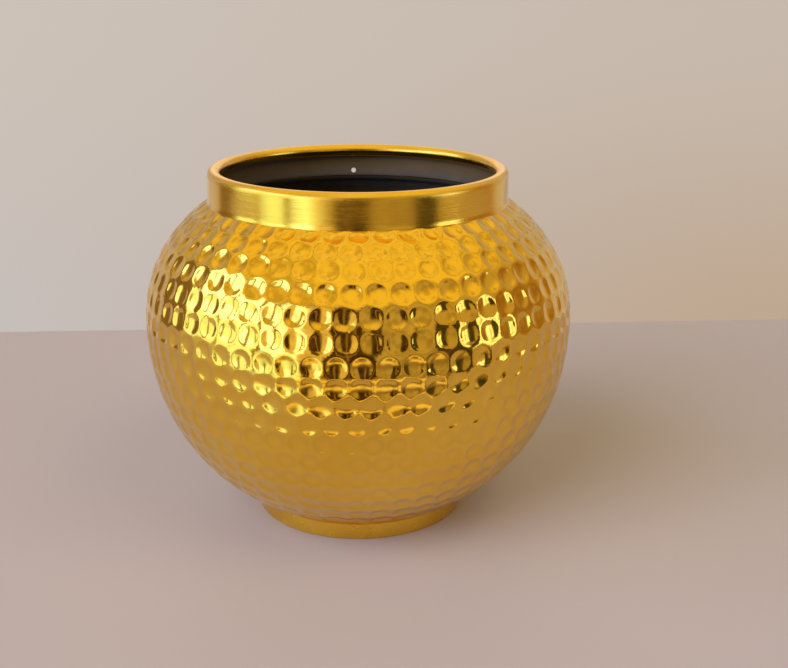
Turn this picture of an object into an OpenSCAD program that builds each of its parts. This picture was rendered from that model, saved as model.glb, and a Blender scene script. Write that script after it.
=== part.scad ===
// Round brass planter pot: a spun and hammered bowl with a short straight neck,
// a wired rim and a plain foot ring. Millimetres, +Z up, origin at the centre
// of the face that the foot stands on.

/* [Bowl] */
// Greatest diameter, across the belly
belly_d = 200; // [170:1:230]
// Height of the widest point above the table
belly_z = 95.6; // [85:0.1:100]
// Fullness of the belly curve: 2 is an ellipse, more is squarer
fullness = 2.12; // [2:0.01:2.4]
// Thickness of the bowl's sheet
sheet_t = 1.0; // [0.8:0.1:1.4]
// Gap between the bowl's flat bottom and the table
floor_gap = 3.0; // [2:0.1:4]

/* [Neck and rim] */
// Height of the whole pot
pot_h = 165.5; // [160:0.5:175]
// Outside diameter of the neck
neck_d = 138; // [120:1:150]
// Height of the neck that shows above the shoulder, rim included
neck_h = 14.9; // [13:0.1:20]
// Thickness of the neck's sheet
collar_t = 0.9; // [0.7:0.1:1.1]
// Diameter of the wire rolled into the rim
wire_d = 4.2; // [2.4:0.1:5]
// Steps of the belly curve that the neck's hidden flange covers
flange_steps = 1; // [1:1:2]
// Diameter of the small hole in the neck, on the +Y side
hole_d = 2.4; // [1.5:0.1:2.6]

/* [Foot] */
// Outside diameter of the foot ring
foot_d = 101.3; // [90:0.1:110]
// Height of the foot ring that shows below the bowl
foot_h = 8; // [6:0.5:10]
// Thickness of the foot ring's band
foot_t = 1.2; // [1:0.1:1.6]
// Width of the foot ring's turned-in resting edge
foot_edge_w = 4.5; // [3:0.5:8]

/* [Joints and lining] */
// Leg of the brazed fillets
braze_leg = 2.0; // [1.5:0.1:2.5]
// Thickness of the black lining
lining_t = 0.2; // [0.15:0.05:0.3]

/* [Hidden] */
$fn = 120;

belly_r = belly_d / 2;
neck_r = neck_d / 2;
foot_r = foot_d / 2;
neck_z = pot_h - neck_h;
neck_in_r = neck_r - collar_t;
bead_r = wire_d / 2 + collar_t;
bead_z = pot_h - bead_r;
// The lining ends where the neck's inner wall meets the rolled rim
lining_top = bead_z - sqrt(bead_r * bead_r - pow(bead_r - collar_t, 2));
hole_z = neck_z + hole_d / 2 + 0.1;

// The belly is a superellipse above and below its widest point: the upper half
// passes through the neck's base and the lower half through the foot's top.
function reach(r) = pow(1 - pow(r / belly_r, fullness), 1 / fullness);
upper_a = (neck_z - belly_z) / reach(neck_r);
lower_a = (belly_z - foot_h) / reach(foot_r);
function under_z(r) = belly_z - lower_a * reach(r);

// Point of the curve at angle t, -90 at the bottom and 90 at the top, set in
// along the curve's own normal
function part_a(t) = t < 0 ? lower_a : upper_a;
function side(t) = t < 0 ? -1 : 1;
function curve_r(t) = belly_r * pow(cos(t), 2 / fullness);
function curve_z(t) = part_a(t) * pow(abs(sin(t)), 2 / fullness);
function normal_r(t) = pow(curve_r(t) / belly_r, fullness - 1) / belly_r;
function normal_z(t) = pow(curve_z(t) / part_a(t), fullness - 1) / part_a(t);
function curve_pt(t, inset) =
    let (nr = normal_r(t), nz = normal_z(t), n = norm([nr, nz]))
    [curve_r(t) - inset * nr / n, belly_z + side(t) * (curve_z(t) - inset * nz / n)];

floor_t = -asin(pow((belly_z - floor_gap) / lower_a, fullness / 2));
neck_t = acos(pow(neck_r / belly_r, fullness / 2));
low_steps = 22;
high_steps = 16;
low_angles = [for (i = [0 : low_steps - 1]) floor_t * (1 - i / low_steps)];
high_angles = [for (i = [0 : high_steps]) neck_t * i / high_steps];
flange_from = high_steps - flange_steps;
flange_t = high_angles[flange_from];
fillet_t = high_angles[flange_from - 1] * 0.4 + flange_t * 0.6;
flange_angles = [for (i = [flange_from : high_steps]) high_angles[i]];
lining_angles = concat(low_angles, [for (i = [0 : flange_from - 1]) high_angles[i]]);

function flipped(pts) = [for (i = [len(pts) - 1 : -1 : 0]) pts[i]];
function curve_pts(angles, inset) = [for (t = angles) curve_pt(t, inset)];

// Everything inside the belly curve up to the neck, set in by inset
module belly_area(inset) {
    pts = curve_pts(concat(low_angles, high_angles), inset);
    top_z = pts[len(pts) - 1][1];
    intersection() {
        polygon(concat([[0, 0], [pts[0][0], 0]], pts, [[0, top_z]]));
        translate([0, floor_gap + inset]) square([belly_r, pot_h]);
    }
}

// The air inside the pot, set in by inset from the metal
module air_area(inset) {
    bowl_pts = curve_pts(lining_angles, sheet_t + inset);
    under_flange = curve_pts(flange_angles, sheet_t + collar_t + inset);
    fillet_pt = [curve_pt(fillet_t, sheet_t + inset)];
    pts = concat(bowl_pts, fillet_pt, under_flange);
    top_z = pts[len(pts) - 1][1];
    intersection() {
        polygon(concat([[0, 0], [pts[0][0], 0]], pts, [[0, top_z]]));
        translate([0, floor_gap + sheet_t + inset]) square([belly_r, pot_h]);
    }
    translate([0, neck_z - 3 * (sheet_t + collar_t)])
        square([neck_in_r - inset, lining_top - neck_z + 3 * (sheet_t + collar_t)]);
}

module neck_hole() {
    translate([0, neck_r, hole_z]) rotate([90, 0, 0])
        cylinder(h = 8 * collar_t, d = hole_d, center = true);
}

// Spun sheet bowl, flat at the bottom and open at the neck
module bowl_shell() {
    color("gold") rotate_extrude() difference() {
        belly_area(0);
        belly_area(sheet_t);
        translate([0, belly_z]) square([neck_r, pot_h]);
    }
}

// Straight neck band: flared under the shoulder, rolled inwards over the wire
module neck_collar() {
    nz = normal_z(neck_t) / norm([normal_r(neck_t), normal_z(neck_t)]);
    wall_z = neck_z - (sheet_t + 0.3 * collar_t) / nz;
    flange_top = curve_pts(flange_angles, sheet_t);
    flange_under = curve_pts(flange_angles, sheet_t + collar_t);
    color("goldenrod") difference() {
        rotate_extrude() {
            difference() {
                polygon(concat(flange_top, flipped(flange_under)));
                square([neck_in_r, pot_h]);
            }
            translate([neck_in_r, wall_z]) square([collar_t, bead_z - wall_z]);
            translate([neck_r - bead_r, bead_z]) difference() {
                circle(bead_r);
                circle(wire_d / 2);
            }
        }
        neck_hole();
    }
}

// Wire that stiffens the rolled rim
module rim_wire() {
    color("darkgoldenrod") rotate_extrude()
        translate([neck_r - bead_r, bead_z]) circle(wire_d / 2);
}

// Plain band under the bowl, turned in at the bottom to stand on
module foot_ring() {
    color("goldenrod") rotate_extrude() {
        difference() {
            translate([foot_r - foot_t, 0]) square([foot_t, foot_h + foot_t]);
            belly_area(0);
            translate([0, floor_gap]) square([foot_r - foot_t, pot_h]);
        }
        translate([foot_r - foot_edge_w, 0]) square([foot_edge_w, foot_t]);
    }
}

// Brazed fillet where the neck's flange ends under the shoulder
module neck_braze() {
    color("khaki") rotate_extrude() polygon([
        curve_pt(flange_t, sheet_t),
        curve_pt(flange_t, sheet_t + collar_t),
        curve_pt(fillet_t, sheet_t)
    ]);
}

// Brazed fillet between the foot ring's inner wall and the bowl's underside
module foot_braze() {
    in_r = foot_r - foot_t;
    low_r = in_r - braze_leg;
    color("khaki") rotate_extrude() difference() {
        polygon([[low_r, under_z(low_r)], [in_r, under_z(in_r) - braze_leg],
                 [in_r, under_z(in_r) + 1], [low_r, under_z(in_r) + 1]]);
        belly_area(0);
    }
}

// Black lacquer over the whole inside, from the floor up to the rolled rim
module inner_lining() {
    color("dimgray") difference() {
        rotate_extrude() difference() {
            air_area(0);
            air_area(lining_t);
        }
        neck_hole();
    }
}

bowl_shell();
neck_collar();
rim_wire();
foot_ring();
neck_braze();
foot_braze();
inner_lining();
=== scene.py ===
"""Brass planter pot: hammered bowl, straight neck with a wired rim, foot ring, black lining."""
import math
import random

import bmesh
import bpy
import numpy as np
from mathutils import Matrix, Vector
from mathutils.geometry import delaunay_2d_cdt
from mathutils.kdtree import KDTree


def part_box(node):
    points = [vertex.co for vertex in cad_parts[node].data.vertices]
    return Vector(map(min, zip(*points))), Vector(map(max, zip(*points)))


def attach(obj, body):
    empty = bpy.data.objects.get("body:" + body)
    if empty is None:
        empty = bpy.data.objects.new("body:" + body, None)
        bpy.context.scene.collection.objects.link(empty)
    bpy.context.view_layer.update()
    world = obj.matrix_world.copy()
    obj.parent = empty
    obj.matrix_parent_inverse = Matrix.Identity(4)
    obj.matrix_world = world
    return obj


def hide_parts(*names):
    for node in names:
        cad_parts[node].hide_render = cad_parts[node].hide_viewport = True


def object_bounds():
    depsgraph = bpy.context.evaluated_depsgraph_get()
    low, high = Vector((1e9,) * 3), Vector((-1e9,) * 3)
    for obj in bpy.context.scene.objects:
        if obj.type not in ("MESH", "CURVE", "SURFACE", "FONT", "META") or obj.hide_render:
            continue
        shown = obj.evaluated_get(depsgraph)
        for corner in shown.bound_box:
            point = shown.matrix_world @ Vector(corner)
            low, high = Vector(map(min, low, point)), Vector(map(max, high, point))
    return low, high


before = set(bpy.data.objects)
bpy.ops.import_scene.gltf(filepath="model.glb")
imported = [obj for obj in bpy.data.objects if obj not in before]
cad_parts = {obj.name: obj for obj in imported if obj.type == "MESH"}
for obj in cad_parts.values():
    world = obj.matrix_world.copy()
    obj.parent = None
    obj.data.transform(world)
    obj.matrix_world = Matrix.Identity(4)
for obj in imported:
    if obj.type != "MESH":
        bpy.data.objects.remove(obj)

MM = 0.001
CAD_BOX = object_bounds()

# ---------------------------------------------------------------- sizes, from the frame
BOWL_LO, BOWL_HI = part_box("bowl_shell")
WIRE_LO, WIRE_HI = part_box("rim_wire")
_, FOOT_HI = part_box("foot_ring")
LINING_LO, LINING_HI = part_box("inner_lining")
POT_TOP = CAD_BOX[1].z
COLLAR_T = POT_TOP - WIRE_HI.z
SHEET_T = LINING_LO.z - BOWL_LO.z
WIRE_R = (WIRE_HI.z - WIRE_LO.z) / 2
BEAD_R = WIRE_R + COLLAR_T
BEAD_Z = POT_TOP - BEAD_R
NECK_R = WIRE_HI.x + COLLAR_T
NECK_IN_R = NECK_R - COLLAR_T
NECK_TAPER = 0.2 * MM
NECK_FILLET = 0.35 * MM
NECK_Z = BOWL_HI.z
BELLY_R = (BOWL_HI.x - BOWL_LO.x) / 2
FLOOR_Z = BOWL_LO.z
FOOT_R = FOOT_HI.x
FOOT_TOP = FOOT_HI.z
FOOT_WALL = 1.2 * MM
FOOT_EDGE = 4.5 * MM
LINING_T = 0.2 * MM
LINING_TOP = LINING_HI.z
HOLE_R = 1.2 * MM
HOLE_Z = NECK_Z + HOLE_R + 0.1 * MM
FULLNESS = 2.12
BELLY_Z = max(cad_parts["bowl_shell"].data.vertices, key=lambda v: v.co.xy.length).co.z

# Hammer marks: round dents that touch, in rings from the neck down to the foot
FIRST_RING = 3.5 * MM
RING_GAPS = [gap * MM for gap in (8.4, 8.6, 9.6, 10.2, 9.6, 10.2, 8.6, 8.4, 8.6, 9.6, 10.4)]
LAST_GAPS = 10.0 * MM
DENT_STEP = 10.2 * MM
DENT_R = 4.95 * MM
DENT_SLOPE = math.tan(math.radians(20))
DENT_LEAN = 0.22
DISH_END, LIP_END = 0.80, 1.10
# Rings of mesh points round each mark: share of its radius, and how many points
MARK_RINGS = ((0.36, 7), (0.62, 13), (0.80, 18), (0.90, 18), (1.00, 18), (1.09, 18))
SPREAD_S, SPREAD_TURN, SPREAD_R = 0.16 * MM, 0.22 * MM, 0.035
RING_TILT = 0.25 * MM
MARK_SEED, LEAN_SEED = 41, 7

# Mesh fineness, and the angle at which the rolled sheet's edge ends
BOWL_SEGMENTS = 240
FINE_SEGMENTS = 320
LINING_ROWS, LINING_COLUMNS = 84, 240
BUMP_SHARE = 0.5
CURL_END = 285
SHARP_EDGE = 35


# ---------------------------------------------------------------- the belly's curve
def reach(r):
    return (1 - (r / BELLY_R) ** FULLNESS) ** (1 / FULLNESS)


UPPER_A = (NECK_Z - BELLY_Z) / reach(NECK_R)
LOWER_A = (BELLY_Z - FOOT_TOP) / reach(FOOT_R)


def upper_angle(r):
    return math.acos((r / BELLY_R) ** (FULLNESS / 2))


def lower_angle(z):
    return -math.asin(((BELLY_Z - z) / LOWER_A) ** (FULLNESS / 2))


def foot_angle(r):
    return lower_angle(BELLY_Z - LOWER_A * reach(r))


def belly_curve(t, inset=0.0):
    """Radius, height and outward normal of the belly at angles t, set in along the normal."""
    t = np.asarray(t, float)
    half = np.where(t < 0, LOWER_A, UPPER_A)
    side = np.where(t < 0, -1.0, 1.0)
    r = BELLY_R * np.cos(t) ** (2 / FULLNESS)
    h = half * np.abs(np.sin(t)) ** (2 / FULLNESS)
    nr = (r / BELLY_R) ** (FULLNESS - 1) / BELLY_R
    nz = (h / half) ** (FULLNESS - 1) / half
    n = np.hypot(nr, nz)
    nr, nz = nr / n, side * nz / n
    return r - inset * nr, BELLY_Z + side * h - inset * nz, nr, nz


class Belly:
    """The belly unrolled: distance s down the curve from the neck, and a conformal radius."""

    def __init__(self, top, bottom, count=4000):
        self.t = np.linspace(top, bottom, count)
        r, z, _, _ = belly_curve(self.t)
        step = np.hypot(np.diff(r), np.diff(z))
        self.s = np.concatenate([[0], np.cumsum(step)])
        self.s -= np.interp(-upper_angle(NECK_R), -self.t, self.s)
        self.turn = np.concatenate([[0], np.cumsum(step / (0.5 * (r[1:] + r[:-1])))])
        self.r = r

    def angle(self, s):
        return np.interp(s, self.s, self.t)

    def s_at(self, t):
        return float(np.interp(-t, -self.t, self.s))

    def radius(self, s):
        return np.interp(s, self.s, self.r)

    def flat(self, s, turn):
        """Plane coordinates that keep small circles round."""
        k = np.exp(-np.interp(s, self.s, self.turn))
        return k * np.cos(turn), k * np.sin(turn)


SKIN_TOP = upper_angle(NECK_R - 0.3 * MM)
SKIN_END = foot_angle(FOOT_R - FOOT_WALL - 0.6 * MM)
BELLY = Belly(SKIN_TOP, SKIN_END)
FOOT_S = BELLY.s_at(foot_angle(FOOT_R))


# ---------------------------------------------------------------- hammer marks
def hammer_marks():
    """(s, angle, radius) of every dent, ring by ring, slightly irregular."""
    rng = random.Random(MARK_SEED)
    marks = []
    s = FIRST_RING
    gaps = list(RING_GAPS)
    while s < FOOT_S + 1 * MM:
        count = round(math.tau * float(BELLY.radius(s)) / DENT_STEP)
        start = rng.uniform(0, math.tau)
        tilt, phase = rng.uniform(0, RING_TILT), rng.uniform(0, math.tau)
        for i in range(count):
            turn = start + math.tau * i / count
            marks.append((
                s + tilt * math.sin(turn + phase) + rng.gauss(0, SPREAD_S),
                turn + rng.gauss(0, SPREAD_TURN) / float(BELLY.radius(s)),
                DENT_R * (1 + rng.gauss(0, SPREAD_R)),
            ))
        s += gaps.pop(0) if gaps else LAST_GAPS
    return marks


def dent_depth(x, radius):
    """Depth at x dent radii from the middle: a flat-bottomed dish with a rounded lip."""
    if x >= LIP_END:
        return 0.0
    lip = LIP_END - DISH_END
    u = max(x, DISH_END)
    wave = math.sin(math.pi * (u - DISH_END) / lip) * lip / math.tau
    rim = (LIP_END - u) / 2 - wave
    v = min(x, DISH_END)
    dish = (DISH_END**3 - v**3) / (3 * DISH_END**2)
    return DENT_SLOPE * radius * (rim + dish)


def dent_slope(x):
    """Steepness at x dent radii from the middle, from 0 on flat metal to 1 at the steepest."""
    if x < DISH_END:
        return (x / DISH_END) ** 2
    u = min(x, LIP_END)
    return 0.5 + 0.5 * math.cos(math.pi * (u - DISH_END) / (LIP_END - DISH_END))


def on_belly(s, turn, inset=0.0):
    r, z, nr, nz = belly_curve(BELLY.angle(s), inset)
    c, d = np.cos(turn), np.sin(turn)
    return np.stack([r * c, r * d, z], -1), np.stack([nr * c, nr * d, nz], -1)


MARKS = hammer_marks()
MARK_POINTS, _ = on_belly(np.array([m[0] for m in MARKS]), np.array([m[1] for m in MARKS]))
MARK_LEANS = np.random.default_rng(LEAN_SEED).normal(0, DENT_LEAN, (len(MARKS), 3))
MARK_TREE = KDTree(len(MARKS))
for index, point in enumerate(MARK_POINTS):
    MARK_TREE.insert(point, index)
MARK_TREE.balance()


def one_dent(point, k, distance):
    """Depth of mark k at a point; no blow is quite square, so each dish leans a little."""
    radius = MARKS[k][2]
    lean = float(np.dot(point - MARK_POINTS[k], MARK_LEANS[k])) / radius
    return dent_depth(distance / radius, radius) * max(0.4, 1 + lean)


def dented(s, turn, strength=1.0, inset=0.0):
    """Points of the belly at (s, turn), pressed in by the nearest hammer marks."""
    outer, _ = on_belly(s, turn)
    base, normal = on_belly(s, turn, inset)
    depth = np.zeros(len(s))
    for i, p in enumerate(outer):
        depth[i] = sum(one_dent(p, k, d) ** 6 for _, k, d in MARK_TREE.find_n(p, 3))
    depth **= 1 / 6
    fade = np.clip((FOOT_S + 1.6 * MM - s) / (1.5 * MM), 0, 1)
    return base - normal * (depth * fade * strength)[:, None]


def skin_points():
    """(s, turn) of the skin's points: two edge rings, and rings round every hammer mark."""
    turns = np.arange(BOWL_SEGMENTS) * math.tau / BOWL_SEGMENTS
    points = [(BELLY.s[0], a) for a in turns] + [(BELLY.s[-1], a) for a in turns]
    top, bottom = BELLY.s[0] + 0.25 * MM, BELLY.s[-1] - 0.3 * MM
    for index, (s, turn, radius) in enumerate(MARKS):
        around = [(s, turn)]
        for row, (share, count) in enumerate(MARK_RINGS):
            for i in range(count):
                a = math.tau * (i + 0.5 * (row % 2)) / count
                ps = s + share * radius * math.cos(a)
                pt = turn + share * radius * math.sin(a) / float(BELLY.radius(s))
                around.append((ps, pt))
        own = np.array(around)
        place, _ = on_belly(own[:, 0], own[:, 1])
        for (ps, pt), p in zip(around, place):
            (_, first, d1), (_, _, d2) = MARK_TREE.find_n(p, 2)
            if top < ps < bottom and first == index and d2 - d1 > 0.3 * MM:
                points.append((ps, pt))
    return np.array(points)


# ---------------------------------------------------------------- mesh helpers
def new_object(name, verts, faces):
    mesh = bpy.data.meshes.new(name)
    mesh.from_pydata([tuple(v) for v in verts], [], [tuple(f) for f in faces])
    bm = bmesh.new()
    bm.from_mesh(mesh)
    bmesh.ops.recalc_face_normals(bm, faces=bm.faces)
    bm.to_mesh(mesh)
    bm.free()
    mesh.polygons.foreach_set("use_smooth", [True] * len(mesh.polygons))
    obj = bpy.data.objects.new(name, mesh)
    bpy.context.scene.collection.objects.link(obj)
    return obj


def ring(r, z, segments):
    a = np.arange(segments) * math.tau / segments
    return np.stack([r * np.cos(a), r * np.sin(a), np.full(segments, z)], -1)


def strip(first, second, segments):
    """Quads between two rings of vertices that start at the given indices."""
    return [
        (first + i, first + (i + 1) % segments, second + (i + 1) % segments, second + i)
        for i in range(segments)
    ]


def fan(first, centre, segments):
    return [(first + i, first + (i + 1) % segments, centre) for i in range(segments)]


def lathe(outline, segments):
    """Vertices and faces of a closed outline of (r, z) points turned about the Z axis."""
    verts, faces = [], []
    for r, z in outline:
        verts.extend(ring(r, z, segments))
    for k in range(len(outline)):
        faces += strip(k * segments, (k + 1) % len(outline) * segments, segments)
    return verts, faces


def arc(cr, cz, radius, start, end, steps):
    """Points of a circular arc in the (r, z) plane; angles in degrees."""
    turns = [math.radians(start + (end - start) * i / steps) for i in range(steps + 1)]
    return [(cr + radius * math.cos(a), cz + radius * math.sin(a)) for a in turns]


def keep_edges_sharp(obj, degrees):
    obj.data.set_sharp_from_angle(angle=math.radians(degrees))


# ---------------------------------------------------------------- the pieces
def skin_mesh(points):
    """The hammered outside: its vertices, and its triangles found in the unrolled plane."""
    x, y = BELLY.flat(points[:, 0], points[:, 1])
    flat = [Vector(p) for p in zip(x.tolist(), y.tolist())]
    found = delaunay_2d_cdt(flat, [], [], 0, 1e-7, True)
    source = [ids[0] for ids in found[3]]
    faces = [tuple(source[i] for i in f) for f in found[2]]
    edge = range(BOWL_SEGMENTS, 2 * BOWL_SEGMENTS)
    faces = [f for f in faces if not all(i in edge for i in f)]
    return list(dented(points[:, 0], points[:, 1])), faces


def bowl_outlines():
    """(r, z) outlines of the underside and of the plain inside, each ending near the axis."""
    under = [belly_curve(t)[:2] for t in np.linspace(SKIN_END, lower_angle(FLOOR_Z), 7)[1:]]
    under += [(under[-1][0] * k, FLOOR_Z) for k in (0.75, 0.5, 0.25)]
    inner_floor = lower_angle(FLOOR_Z) + 0.01
    inside = [belly_curve(t, SHEET_T)[:2] for t in np.linspace(SKIN_TOP, inner_floor, 44)]
    inside = [p for p in inside if p[1] > FLOOR_Z + SHEET_T]
    inside += [(inside[-1][0] * k, FLOOR_Z + SHEET_T) for k in (0.98, 0.65, 0.35)]
    return under, inside


def mark_slopes(points, count):
    """Steepness of the dents at the skin's points, and 0 at the rest of count vertices."""
    slopes = np.zeros(count)
    outer, _ = on_belly(points[:, 0], points[:, 1])
    for i, point in enumerate(outer):
        _, nearest, distance = MARK_TREE.find(point)
        slopes[i] = dent_slope(distance / MARKS[nearest][2])
    return slopes


def hammered_bowl():
    """Closed bowl of sheet: hammered skin outside, plain underside and inside."""
    points = skin_points()
    verts, faces = skin_mesh(points)
    under, inside = bowl_outlines()
    for outline, last in ((under, BOWL_SEGMENTS), (inside, 0)):
        for r, z in outline:
            start = len(verts)
            verts.extend(ring(float(r), float(z), BOWL_SEGMENTS))
            faces += strip(last, start, BOWL_SEGMENTS)
            last = start
        verts.append((0, 0, outline[-1][1]))
        faces += fan(last, len(verts) - 1, BOWL_SEGMENTS)
    bowl = new_object("hammered_bowl", verts, faces)
    slopes = mark_slopes(points, len(verts))
    bowl.data.attributes.new("slope", "FLOAT", "POINT").data.foreach_set("value", slopes)
    return bowl


def neck_flare(z):
    """How far the neck's wall stands out: a slight taper, and a small fillet at its foot."""
    up = max(0.0, z - NECK_Z)
    taper = NECK_TAPER * (1 - up / (BEAD_Z - NECK_Z))
    return taper + NECK_FILLET * math.exp(-up / (0.45 * MM))


def curl_outline():
    """Section of the neck's sheet: flange under the shoulder, wall, and curl round the wire."""
    middle = NECK_R - BEAD_R
    neck_t = upper_angle(NECK_R)
    drop = (SHEET_T + 0.3 * COLLAR_T) / float(belly_curve(neck_t)[3])
    flange = np.linspace(neck_t, neck_t * 15 / 16, 4)
    outer = [belly_curve(t, SHEET_T + 0.02 * MM)[:2] for t in flange[::-1]]
    under = [belly_curve(t, SHEET_T + COLLAR_T)[:2] for t in flange]
    outer = [p for p in outer if p[0] > NECK_R] + [(NECK_R, NECK_Z - drop)]
    heights = NECK_Z + (BEAD_Z - NECK_Z) * np.linspace(0, 1, 15) ** 2 - 0.6 * MM
    heights = [z for z in heights if z < BEAD_Z - 0.7 * MM] + [BEAD_Z]
    wall = [(NECK_R + neck_flare(z), z) for z in heights]
    over = arc(middle, BEAD_Z, BEAD_R, 0, CURL_END, 56)[1:]
    tip = math.radians(CURL_END)
    mid_r = (BEAD_R + WIRE_R) / 2
    end_cap = arc(
        middle + mid_r * math.cos(tip), BEAD_Z + mid_r * math.sin(tip),
        COLLAR_T / 2, CURL_END, CURL_END + 180, 6,
    )[1:-1]
    back = arc(middle, BEAD_Z, WIRE_R + 0.01 * MM, CURL_END, 0, 40)
    down = [(NECK_IN_R, z) for z in np.linspace(BEAD_Z, NECK_Z - drop, 6)[1:]]
    under = [p for p in under if p[0] > NECK_IN_R]
    return outer + wall + over + end_cap + back + down + under


def cut_hole(obj):
    """Drills the small hole through the neck on the +Y side."""
    tool_mesh = bpy.data.meshes.new("hole_tool")
    bm = bmesh.new()
    place = Matrix.Translation((0, NECK_R, HOLE_Z)) @ Matrix.Rotation(math.pi / 2, 4, "X")
    bmesh.ops.create_cone(
        bm, cap_ends=True, segments=48, radius1=HOLE_R, radius2=HOLE_R,
        depth=8 * COLLAR_T, matrix=place,
    )
    bm.to_mesh(tool_mesh)
    bm.free()
    tool = bpy.data.objects.new("hole_tool", tool_mesh)
    bpy.context.scene.collection.objects.link(tool)
    cut = obj.modifiers.new("hole", "BOOLEAN")
    cut.operation, cut.solver, cut.object = "DIFFERENCE", "EXACT", tool
    graph = bpy.context.evaluated_depsgraph_get()
    mesh = bpy.data.meshes.new_from_object(obj.evaluated_get(graph))
    obj.modifiers.clear()
    obj.data = mesh
    bpy.data.objects.remove(tool)


def neck_band():
    obj = new_object("neck_band", *lathe(curl_outline(), FINE_SEGMENTS))
    cut_hole(obj)
    keep_edges_sharp(obj, SHARP_EDGE)
    return obj


def foot_band():
    """Plain ring whose top follows the bowl, with its lower outside edge rounded."""
    soft = 0.9 * MM
    in_r = FOOT_R - FOOT_WALL
    top = [(r, BELLY_Z - LOWER_A * reach(r)) for r in (FOOT_R - 0.25 * MM, in_r)]
    outline = arc(FOOT_R - soft, soft, soft, -90, 0, 8)
    outline += [(FOOT_R, z) for z in np.linspace(1.5 * MM, FOOT_TOP - 0.3 * MM, 6)]
    outline += [top[0], top[1], (in_r, FLOOR_Z), (in_r, FOOT_WALL)]
    outline += [(FOOT_R - FOOT_EDGE + 0.3 * MM, FOOT_WALL), (FOOT_R - FOOT_EDGE, 0.9 * MM)]
    outline += [(FOOT_R - FOOT_EDGE, 0.3 * MM), (FOOT_R - FOOT_EDGE + 0.3 * MM, 0)]
    obj = new_object("foot_band", *lathe(outline, FINE_SEGMENTS))
    keep_edges_sharp(obj, SHARP_EDGE)
    return obj


def lining_loops(gap, strength):
    """Rings of the lining's layer that stands gap off the metal, from the mouth to the floor."""
    columns = LINING_COLUMNS
    turns = np.arange(columns) * math.tau / columns
    flange_t = upper_angle(NECK_R) * 15 / 16
    start = BELLY.s_at(flange_t) + 1.5 * MM
    heights = np.linspace(LINING_TOP, NECK_Z - 1.0 * MM, 12)
    loops = [ring(NECK_IN_R - gap, z, columns) for z in heights]
    for t in np.linspace(upper_angle(NECK_R), flange_t, 4):
        r, z = belly_curve(t, SHEET_T + COLLAR_T + gap)[:2]
        if r > NECK_IN_R - gap:
            loops.append(ring(float(r), float(z), columns))
    for s in np.linspace(start, FOOT_S, LINING_ROWS):
        fade = min(1.0, (s - start) / (3 * MM))
        here = np.full(columns, s)
        loops.append(dented(here, turns, strength * fade, SHEET_T + gap))
    floor_z = FLOOR_Z + SHEET_T + gap
    for t in np.linspace(foot_angle(FOOT_R), lower_angle(FLOOR_Z), 14)[1:]:
        r, z = belly_curve(t, SHEET_T + gap)[:2]
        if z > floor_z:
            corner_r = float(r)
            loops.append(ring(corner_r, float(z), columns))
    return loops + [ring(corner_r * k, floor_z, columns) for k in (0.97, 0.7, 0.45, 0.2)]


def lining_skin():
    """Black lining: a thin closed skin that shows the hammer marks as soft bumps."""
    columns = LINING_COLUMNS
    verts, faces = [], []
    for gap, strength in ((LINING_T, BUMP_SHARE), (0.0, 0.0)):
        first = len(verts)
        for loop in lining_loops(gap, strength):
            verts.extend(loop)
            if len(verts) - first > columns:
                faces += strip(len(verts) - 2 * columns, len(verts) - columns, columns)
        verts.append((0, 0, FLOOR_Z + SHEET_T + gap))
        faces += fan(len(verts) - 1 - columns, len(verts) - 1, columns)
    faces += strip(0, first, columns)
    obj = new_object("lining_skin", verts, faces)
    cut_hole(obj)
    return obj


# ---------------------------------------------------------------- materials
class Nodes:
    """Short names for building a node tree."""

    def __init__(self, tree):
        self.tree = tree
        tree.nodes.clear()

    def add(self, kind, inputs=None, **settings):
        node = self.tree.nodes.new(kind)
        for key, value in settings.items():
            setattr(node, key, value)
        for key, value in (inputs or {}).items():
            self.put(node.inputs[key], value)
        return node

    def put(self, socket, value):
        if isinstance(value, bpy.types.NodeSocket):
            self.tree.links.new(value, socket)
        else:
            socket.default_value = value

    def math(self, operation, a, b=0.0):
        return self.add("ShaderNodeMath", {0: a, 1: b}, operation=operation).outputs[0]

    def band(self, value, low, high, soft):
        """1 between low and high, falling smoothly to 0 over soft on each side."""
        up = self.smooth(value, low - soft, low + soft)
        down = self.smooth(value, high + soft, high - soft)
        return self.math("MULTIPLY", up, down)

    def smooth(self, value, start, end, low=0.0, high=1.0):
        node = self.add(
            "ShaderNodeMapRange",
            {"Value": value, "From Min": start, "From Max": end, "To Min": low, "To Max": high},
            interpolation_type="SMOOTHSTEP",
        )
        return node.outputs["Result"]

    def mix(self, factor, a, b):
        node = self.add("ShaderNodeMix", data_type="RGBA")
        self.put(node.inputs[0], factor)
        self.put(node.inputs[6], a)
        self.put(node.inputs[7], b)
        return node.outputs[2]

    def noise(self, where, scale, detail=2.0, rough=0.5, stretch=(1, 1, 1)):
        mapped = self.add("ShaderNodeMapping", {"Vector": where, "Scale": stretch})
        node = self.add(
            "ShaderNodeTexNoise",
            {"Vector": mapped.outputs[0], "Scale": scale, "Detail": detail, "Roughness": rough},
        )
        return node.outputs["Fac"]


def new_material(name):
    material = bpy.data.materials.new(name)
    material.use_nodes = True
    n = Nodes(material.node_tree)
    shader = n.add("ShaderNodeBsdfPrincipled")
    out = n.add("ShaderNodeOutputMaterial")
    material.node_tree.links.new(shader.outputs[0], out.inputs[0])
    where = n.add("ShaderNodeTexCoord").outputs["Object"]
    return material, n, shader, where


GOLD = (0.94, 0.60, 0.065, 1)
DEEP_GOLD = (0.90, 0.545, 0.045, 1)
PALE_GOLD = (0.95, 0.66, 0.10, 1)
# Tarnish colour, also laid on the dents' slopes as painted shade
TARNISH_AND_SHADE = (0.45, 0.22, 0.02, 1)
BLEMISH = (0.10, 0.045, 0.02, 1)
COAT, COAT_ROUGHNESS = 0.35, 0.06


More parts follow.
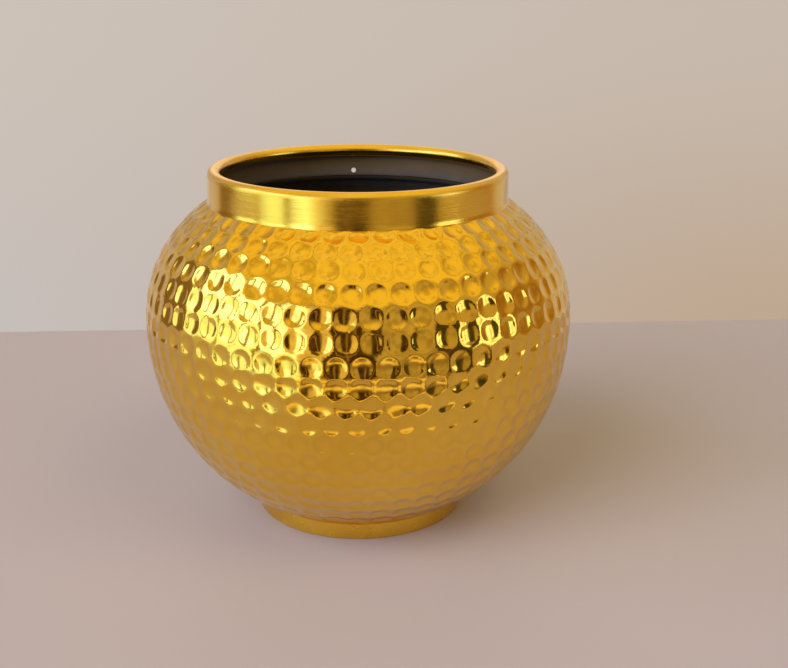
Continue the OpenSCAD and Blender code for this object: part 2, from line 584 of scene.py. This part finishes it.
def tarnish_and_painted_shade(n, where, tone):
    """Darker, browner metal, in patches, on the slopes of the dents: partly tarnish, partly
    painted shade on the dent walls.
    """
    slope = n.add("ShaderNodeAttribute", attribute_name="slope").outputs["Fac"]
    patchy = n.smooth(n.noise(where, 55, 2, 0.5), 0.3, 0.7, 0.05, 0.20)
    return n.mix(n.math("MULTIPLY", slope, patchy), tone, TARNISH_AND_SHADE)


def speckled(n, where, tone, share):
    """Tiny dark blemishes, one in the given share of cells about 20 mm wide."""
    cells = n.add("ShaderNodeTexVoronoi", {"Vector": where, "Scale": 46.0})
    chance = n.add("ShaderNodeSeparateColor", {"Color": cells.outputs["Color"]})
    rare = n.math("GREATER_THAN", chance.outputs[0], 1 - share)
    spot = n.smooth(cells.outputs["Distance"], 0.085, 0.04)
    return n.mix(n.math("MULTIPLY", n.math("MULTIPLY", rare, spot), 0.75), tone, BLEMISH)


def brass(name, rough, lines, line_step, specks=0.0, dents=False, worn_above=None):
    """Brass with turning lines round the pot, colour clouds, smudges and a clear coat."""
    material, n, shader, where = new_material(name)
    clouds = n.noise(where, 28, 3, 0.55)
    streaks = n.noise(where, 1, 3, 0.6, (9, 9, 1 / line_step))
    fine = n.noise(where, 1, 2, 0.6, (30, 30, 3.1 / line_step))
    smudge = n.noise(where, 70, 4, 0.6)
    tone = n.mix(n.smooth(clouds, 0.35, 0.68), DEEP_GOLD, GOLD)
    tone = n.mix(n.smooth(streaks, 0.55, 0.8, 0.0, 0.35), tone, PALE_GOLD)
    # painted shade: the dents' slopes darken in patches, partly as tarnish, partly as shade
    if dents:
        tone = tarnish_and_painted_shade(n, where, tone)
    if specks:
        tone = speckled(n, where, tone, specks)
    n.put(shader.inputs["Base Color"], tone)
    shader.inputs["Metallic"].default_value = 1.0
    shader.inputs["Coat Weight"].default_value = COAT
    shader.inputs["Coat Roughness"].default_value = COAT_ROUGHNESS
    wear = n.smooth(smudge, 0.4, 0.75, rough * 0.85, rough * 1.5)
    if worn_above:
        level = n.add("ShaderNodeSeparateXYZ", {0: where}).outputs[2]
        lip = n.smooth(level, worn_above - 1 * MM, worn_above + 1 * MM, 0, 0.14)
        wear = n.math("ADD", wear, lip)
    n.put(shader.inputs["Roughness"], n.math("ADD", wear, n.smooth(fine, 0.4, 0.8, 0, 0.05)))
    height = n.math("ADD", streaks, n.math("MULTIPLY", fine, 0.5))
    bump = n.add(
        "ShaderNodeBump", {"Strength": lines, "Distance": 0.04 * MM, "Height": height}
    )
    n.put(shader.inputs["Normal"], bump.outputs[0])
    return material


def black_lacquer():
    """Satin black lacquer with ripples and dust, and a painted reflection: lighter brown on the
    neck's inside.
    """
    material, n, shader, where = new_material("black_lacquer")
    dust = n.noise(where, 160, 4, 0.6)
    ripple = n.noise(where, 1, 2, 0.5, (40, 40, 700))
    height = n.add("ShaderNodeSeparateXYZ", {0: where}).outputs[2]
    # painted reflection: the neck's inside turns lighter brown, standing in for the gold rim and
    # window light it reflects
    thin = n.smooth(height, NECK_Z - 4 * MM, LINING_TOP - 2 * MM)
    tone = n.mix(n.smooth(dust, 0.45, 0.8), (0.100, 0.095, 0.090, 1), (0.135, 0.122, 0.104, 1))
    tone = n.mix(thin, tone, (0.14, 0.092, 0.036, 1))
    n.put(shader.inputs["Base Color"], tone)
    n.put(shader.inputs["Roughness"], n.smooth(dust, 0.35, 0.75, 0.30, 0.44))
    shader.inputs["IOR"].default_value = 1.52
    bump = n.add(
        "ShaderNodeBump", {"Strength": 0.25, "Distance": 0.05 * MM, "Height": ripple}
    )
    n.put(shader.inputs["Normal"], bump.outputs[0])
    return material


def braze_metal():
    """Dull, slightly lumpy brazing alloy."""
    material, n, shader, where = new_material("braze_metal")
    lumps = n.noise(where, 450, 3, 0.6)
    tone = n.mix(n.smooth(lumps, 0.3, 0.7), (0.42, 0.27, 0.09, 1), (0.62, 0.45, 0.20, 1))
    n.put(shader.inputs["Base Color"], tone)
    shader.inputs["Metallic"].default_value = 1.0
    n.put(shader.inputs["Roughness"], n.smooth(lumps, 0.3, 0.7, 0.35, 0.55))
    bump = n.add("ShaderNodeBump", {"Strength": 0.5, "Distance": 0.2 * MM, "Height": lumps})
    n.put(shader.inputs["Normal"], bump.outputs[0])
    return material


def table_paint():
    material, n, shader, where = new_material("table_paint")
    grain = n.noise(where, 900, 3, 0.6)
    clouds = n.noise(where, 5, 2, 0.5)
    tone = n.mix(clouds, (0.50, 0.455, 0.50, 1), (0.53, 0.485, 0.53, 1))
    n.put(shader.inputs["Base Color"], tone)
    shader.inputs["Roughness"].default_value = 0.55
    bump = n.add("ShaderNodeBump", {"Strength": 0.05, "Distance": 0.05 * MM, "Height": grain})
    n.put(shader.inputs["Normal"], bump.outputs[0])
    return material


def set_material(obj, material):
    obj.data.materials.clear()
    obj.data.materials.append(material)


# ---------------------------------------------------------------- camera, floor and light
VIEW_AZIMUTH = math.radians(-2.04)
VIEW_DISTANCE = 0.5231
VIEW_HEIGHT = 0.2518
VIEW_PITCH = math.radians(19.086)
VIEW_YAW = math.radians(1.832)
VIEW_ROLL = math.radians(0.174)
LENS = 51.94
SHIFT_Y = 0.033


def add_camera():
    data = bpy.data.cameras.new("camera")
    data.lens, data.sensor_width, data.shift_y = LENS, 36, SHIFT_Y
    data.clip_start = 0.01
    cam = bpy.data.objects.new("camera", data)
    bpy.context.scene.collection.objects.link(cam)
    heading = VIEW_YAW - VIEW_AZIMUTH
    ahead = Vector((
        math.sin(heading) * math.cos(VIEW_PITCH),
        math.cos(heading) * math.cos(VIEW_PITCH),
        -math.sin(VIEW_PITCH),
    ))
    level = Vector((math.cos(heading), -math.sin(heading), 0))
    up = level.cross(ahead)
    right = level * math.cos(VIEW_ROLL) + up * math.sin(VIEW_ROLL)
    up = up * math.cos(VIEW_ROLL) - level * math.sin(VIEW_ROLL)
    turn = Matrix((right, up, -ahead)).transposed()
    spot = Vector((
        math.sin(VIEW_AZIMUTH) * VIEW_DISTANCE,
        -math.cos(VIEW_AZIMUTH) * VIEW_DISTANCE,
        VIEW_HEIGHT,
    ))
    cam.matrix_world = Matrix.Translation(spot) @ turn.to_4x4()
    bpy.context.scene.camera = cam


def add_table():
    """A pale table top whose far edge is behind the pot."""
    half_width, near, far = 1.6, -0.235, 0.281
    corners = [
        (-half_width, near, 0), (half_width, near, 0), (half_width, far, 0), (-half_width, far, 0)
    ]
    table = new_object("table_top", corners, [(0, 1, 2, 3)])
    table.data.transform(Matrix.Rotation(-VIEW_YAW * 0.1, 4, "Z"))
    set_material(table, table_paint())


# What stands round the pot: name, azimuths, elevations and their softness in degrees, colour
LIGHT_PATCHES = (
    ("rear_wall", 122, 238, -60, 48, 10, 8, (0.62, 0.53, 0.47, 1)),
    ("rear_softbox", 160, 200, 6, 46, 5, 4, (1.15, 0.95, 0.75, 1)),
    ("front_ledge", -60, 40, -28, -20, 6, 2.5, (1.05, 0.84, 0.50, 1)),
    ("left_window", -104, -27, -22, 36, 2.5, 2.5, (1.25, 1.70, 2.2, 1)),
    ("window_glare", -103, -55, 15, 35, 2, 3, (2.1, 2.6, 5.2, 1)),
    ("window_glare", -50, -28, -6, 34, 2, 3, (2.1, 2.6, 5.2, 1)),
    ("window_bar", -56, -51, -16, 36, 1, 2.5, (0.42, 0.30, 0.15, 1)),
    ("window_bar", -81, -77, -16, 36, 1, 2.5, (0.48, 0.36, 0.18, 1)),
    ("left_frame", -126, -101, -18, 22, 3, 4, (0.28, 0.19, 0.095, 1)),
    ("window_side", -34, -19, -12, 33, 3, 3, (0.95, 0.80, 0.60, 1)),
    ("dark_flag", -17, 8, -16, 33, 3, 4, (0.05, 0.025, 0.02, 1)),
    ("flag_edge", -9, -6, -12, 30, 1, 4, (0.40, 0.26, 0.18, 1)),
    ("dark_frame", 42, 60, -16, 24, 2, 3, (0.045, 0.04, 0.04, 1)),
    ("right_window", 60, 79, -3, 19, 1.5, 1.5, (2.2, 2.6, 3.8, 1)),
    ("window_bar", 68, 70, -3, 19, 1, 1, (0.5, 0.35, 0.2, 1)),
    ("warm_wall", 83, 120, -14, 24, 6, 8, (0.45, 0.25, 0.07, 1)),
)
SKY_STEPS = (
    (-90, (0.34, 0.25, 0.18, 1)),
    (-30, (0.28, 0.19, 0.12, 1)),
    (-14, (0.34, 0.24, 0.15, 1)),
    (-8, (0.52, 0.41, 0.25, 1)),
    (34, (0.60, 0.47, 0.26, 1)),
    (46, (1.00, 0.77, 0.20, 1)),
    (90, (1.05, 0.84, 0.34, 1)),
)
# Share of the surroundings' light that falls on matt surfaces; the two lamps give the rest
AMBIENT = 0.42
# The wall behind the pot as the camera sees it, with its light painted in: colours at its left
# and right, lighter at the top left, in painted shade towards the lower right
WALL_TOP = ((0.610, 0.539, 0.479, 1), (0.571, 0.485, 0.413, 1))
WALL_LOW = ((0.571, 0.521, 0.497, 1), (0.521, 0.386, 0.275, 1))


def add_light(name, place, size, energy, colour):
    """Square soft light aimed at the pot; it lights the table and the pot's inside."""
    data = bpy.data.lights.new(name, "AREA")
    data.shape, data.size, data.energy = "SQUARE", size, energy
    data.color = colour
    lamp = bpy.data.objects.new(name, data)
    lamp.location = place
    lamp.rotation_euler = (-lamp.location).to_track_quat("-Z", "Y").to_euler()
    lamp.visible_glossy = False
    bpy.context.scene.collection.objects.link(lamp)


def light_world():
    """Soft studio surroundings that the brass reflects, and the pale wall behind the pot."""
    world = bpy.data.worlds.new("studio")
    bpy.context.scene.world = world
    world.use_nodes = True
    n = Nodes(world.node_tree)
    way = n.add("ShaderNodeTexCoord").outputs["Generated"]
    x, y, z = n.add("ShaderNodeSeparateXYZ", {0: way}).outputs
    elevation = n.math("DEGREES", n.math("ARCSINE", z))
    back_y = n.math("MULTIPLY", y, -1.0)
    azimuth = n.math("DEGREES", n.math("ARCTAN2", x, back_y))
    azimuth = n.math("SUBTRACT", azimuth, math.degrees(VIEW_AZIMUTH))
    around = n.math("MODULO", n.math("ADD", azimuth, 360.0), 360.0)
    tone = SKY_STEPS[0][1]
    for (low, _), (high, colour) in zip(SKY_STEPS, SKY_STEPS[1:]):
        tone = n.mix(n.smooth(elevation, low, high), tone, colour)
    for _, left, right, low, high, soft_a, soft_e, colour in LIGHT_PATCHES:
        where = around if right > 180 else azimuth
        inside = n.math(
            "MULTIPLY", n.band(where, left, right, soft_a), n.band(elevation, low, high, soft_e)
        )
        tone = n.mix(inside, tone, colour)
    clutter = n.noise(way, 3.2, 3, 0.55)
    tone = n.mix(n.smooth(clutter, 0.44, 0.66, 0.0, 0.42), tone, (0.16, 0.11, 0.07, 1))
    ahead = n.math("DEGREES", n.math("ARCTAN2", x, y))
    across = n.smooth(ahead, -22, 26)
    # painted light and shade: the wall the camera sees is lighter at the left and top, darker and
    # warmer towards the lower right
    wall = n.mix(
        n.smooth(elevation, -18, -2), n.mix(across, *WALL_LOW), n.mix(across, *WALL_TOP)
    )
    rays = n.add("ShaderNodeLightPath").outputs
    tone = n.mix(rays["Is Camera Ray"], tone, wall)
    power = n.smooth(rays["Is Diffuse Ray"], 0, 1, 1.0, AMBIENT)
    shade = n.add("ShaderNodeBackground", {"Color": tone, "Strength": power})
    out = n.add("ShaderNodeOutputWorld")
    world.node_tree.links.new(shade.outputs[0], out.inputs[0])


# ---------------------------------------------------------------- build
add_camera()
light_world()
add_light("window_light", (-2.0, -1.9, 2.0), 2.6, 82, (1.0, 0.93, 0.84))
add_light("fill_light", (1.3, -1.1, 2.0), 1.8, 18, (1.0, 0.74, 0.46))
add_table()
bpy.context.scene.view_settings.view_transform = "Standard"

HAMMERED = brass("hammered_brass", 0.08, 0.20, 0.45 * MM, 0.02, dents=True)
BRUSHED = brass("brushed_brass", 0.14, 0.85, 0.50 * MM, worn_above=BEAD_Z)
PLAIN = brass("plain_brass", 0.22, 0.18, 0.40 * MM)
DRAWN = brass("drawn_wire", 0.30, 0.15, 0.20 * MM)
LACQUER = black_lacquer()
BRAZE = braze_metal()

for make, node, slot, material in (
    (hammered_bowl, "bowl_shell", "hammered_brass", HAMMERED),
    (neck_band, "neck_collar", "brushed_brass", BRUSHED),
    (foot_band, "foot_ring", "foot_brass", PLAIN),
    (lining_skin, "inner_lining", "black_lining", LACQUER),
):
    piece = make()
    set_material(piece, material)
    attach(piece, "root")
    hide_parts(node)

for node, material in (("rim_wire", DRAWN), ("neck_braze", BRAZE), ("foot_braze", BRAZE)):
    set_material(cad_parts[node], material)
